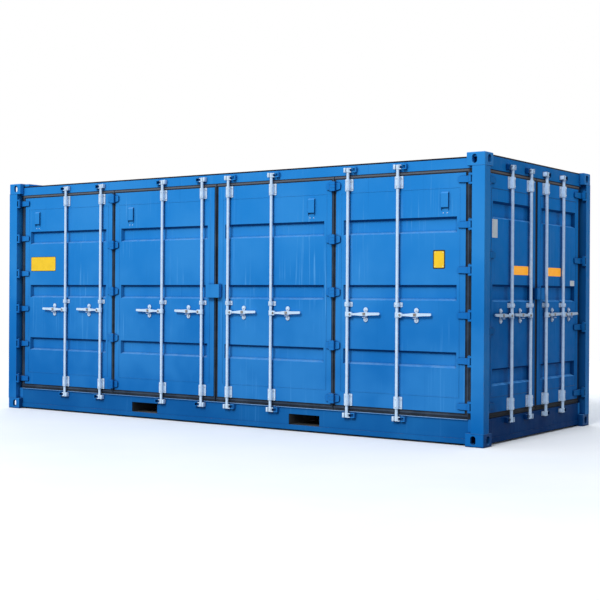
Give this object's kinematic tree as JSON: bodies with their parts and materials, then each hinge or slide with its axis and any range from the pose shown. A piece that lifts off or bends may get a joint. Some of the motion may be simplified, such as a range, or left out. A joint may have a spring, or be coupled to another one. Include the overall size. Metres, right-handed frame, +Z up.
{
  "type": "side-opening shipping container",
  "caption": "Twenty-foot steel shipping container with folding doors along one long side and a pair of swing doors at one end, lock rods and corner castings.",
  "frame": {"origin": "centre of the footprint at the level of the bottom faces of the corner castings", "axes": "+X along the length towards the end doors, -Y towards the side doors, +Z up"},
  "size_m": [6.058, 2.438, 2.591],
  "materials": {
    "shell_paint": "satin blue paint",
    "door_paint": "satin blue paint",
    "hinge_paint": "satin blue paint on forged steel",
    "underframe_coating": "dull dark underbody coating",
    "floor_plywood": "sealed plywood",
    "seal_rubber": "dull black rubber",
    "galvanised_steel": "pale zinc coating"
  },
  "bodies": {
    "root": {"top_castings": "shell_paint", "bottom_castings": "shell_paint", "rear_posts": "shell_paint", "front_posts": "shell_paint", "near_top_rail": "shell_paint", "near_bottom_rail": "shell_paint", "rear_header": "shell_paint", "rear_sill": "shell_paint", "far_top_rail": "shell_paint", "far_bottom_rail": "shell_paint", "front_header": "shell_paint", "front_sill": "shell_paint", "rail_ends": "shell_paint", "far_side_wall": "shell_paint", "front_wall": "shell_paint", "roof": "shell_paint", "roof_corner_plates": "shell_paint", "floor": "floor_plywood", "cross_members": "underframe_coating", "fork_pockets": "shell_paint", "side_door_1": "door_paint", "side_door_2": "door_paint", "side_door_3": "door_paint", "side_door_4": "door_paint", "side_seals": "seal_rubber", "side_hinge_ears": "hinge_paint", "side_hinge_blades": "hinge_paint", "fold_hinges": "hinge_paint", "side_rod_fittings": "galvanised_steel", "side_keepers": "shell_paint", "side_vents": "shell_paint", "side_lock_box": "shell_paint", "side_cam_stops": "galvanised_steel", "end_hinge_ears": "hinge_paint", "end_keepers": "shell_paint", "end_cam_stops": "galvanised_steel"},
    "end_leaf_near": {"end_door_near": "door_paint", "end_seal_near": "seal_rubber", "end_hinge_blades_near": "hinge_paint", "end_rod_fittings_near": "galvanised_steel", "end_lock_box_near": "shell_paint"},
    "end_leaf_far": {"end_door_far": "door_paint", "end_seal_far": "seal_rubber", "end_hinge_blades_far": "hinge_paint", "end_rod_fittings_far": "galvanised_steel", "end_lock_box_far": "shell_paint"},
    "end_lock_rod_1": {"end_rod_1": "galvanised_steel"},
    "end_lock_rod_2": {"end_rod_2": "galvanised_steel"},
    "end_lock_rod_3": {"end_rod_3": "galvanised_steel"},
    "end_lock_rod_4": {"end_rod_4": "galvanised_steel"},
    "side_lock_rod_1": {"side_rod_1": "galvanised_steel"},
    "side_lock_rod_2": {"side_rod_2": "galvanised_steel"},
    "side_lock_rod_3": {"side_rod_3": "galvanised_steel"},
    "side_lock_rod_4": {"side_rod_4": "galvanised_steel"},
    "side_lock_rod_5": {"side_rod_5": "galvanised_steel"},
    "side_lock_rod_6": {"side_rod_6": "galvanised_steel"},
    "side_lock_rod_7": {"side_rod_7": "galvanised_steel"},
    "side_lock_rod_8": {"side_rod_8": "galvanised_steel"}
  },
  "joints": [
    {"name": "end_door_near_swing", "type": "hinge", "parent": "root", "child": "end_leaf_near", "pos_m": [3.011, -1.094, 1.3535], "axis": [0, 0, -1], "range_deg": [0, 180]},
    {"name": "end_door_far_swing", "type": "hinge", "parent": "root", "child": "end_leaf_far", "pos_m": [3.011, 1.094, 1.3535], "axis": [0, 0, 1], "range_deg": [0, 180]},
    {"name": "end_rod_1_turn", "type": "hinge", "parent": "end_leaf_near", "child": "end_lock_rod_1", "pos_m": [3.0015, -0.594, 1.148], "axis": [0, 0, 1], "range_deg": [0, 90]},
    {"name": "end_rod_2_turn", "type": "hinge", "parent": "end_leaf_near", "child": "end_lock_rod_2", "pos_m": [3.0015, -0.181, 1.148], "axis": [0, 0, 1], "range_deg": [0, 90]},
    {"name": "end_rod_3_turn", "type": "hinge", "parent": "end_leaf_far", "child": "end_lock_rod_3", "pos_m": [3.0015, 0.181, 1.148], "axis": [0, 0, -1], "range_deg": [0, 90]},
    {"name": "end_rod_4_turn", "type": "hinge", "parent": "end_leaf_far", "child": "end_lock_rod_4", "pos_m": [3.0015, 0.594, 1.148], "axis": [0, 0, -1], "range_deg": [0, 90]},
    {"name": "side_rod_1_turn", "type": "hinge", "parent": "root", "child": "side_lock_rod_1", "pos_m": [-2.139, -1.1915, 1.148], "axis": [0, 0, 1], "range_deg": [0, 90]},
    {"name": "side_rod_2_turn", "type": "hinge", "parent": "root", "child": "side_lock_rod_2", "pos_m": [-1.6, -1.1915, 1.148], "axis": [0, 0, 1], "range_deg": [0, 90]},
    {"name": "side_rod_3_turn", "type": "hinge", "parent": "root", "child": "side_lock_rod_3", "pos_m": [-0.709, -1.1915, 1.148], "axis": [0, 0, 1], "range_deg": [0, 90]},
    {"name": "side_rod_4_turn", "type": "hinge", "parent": "root", "child": "side_lock_rod_4", "pos_m": [-0.17, -1.1915, 1.148], "axis": [0, 0, 1], "range_deg": [0, 90]},
    {"name": "side_rod_5_turn", "type": "hinge", "parent": "root", "child": "side_lock_rod_5", "pos_m": [0.17, -1.1915, 1.148], "axis": [0, 0, -1], "range_deg": [0, 90]},
    {"name": "side_rod_6_turn", "type": "hinge", "parent": "root", "child": "side_lock_rod_6", "pos_m": [0.709, -1.1915, 1.148], "axis": [0, 0, -1], "range_deg": [0, 90]},
    {"name": "side_rod_7_turn", "type": "hinge", "parent": "root", "child": "side_lock_rod_7", "pos_m": [1.6, -1.1915, 1.148], "axis": [0, 0, -1], "range_deg": [0, 90]},
    {"name": "side_rod_8_turn", "type": "hinge", "parent": "root", "child": "side_lock_rod_8", "pos_m": [2.139, -1.1915, 1.148], "axis": [0, 0, -1], "range_deg": [0, 90]}
  ]
}
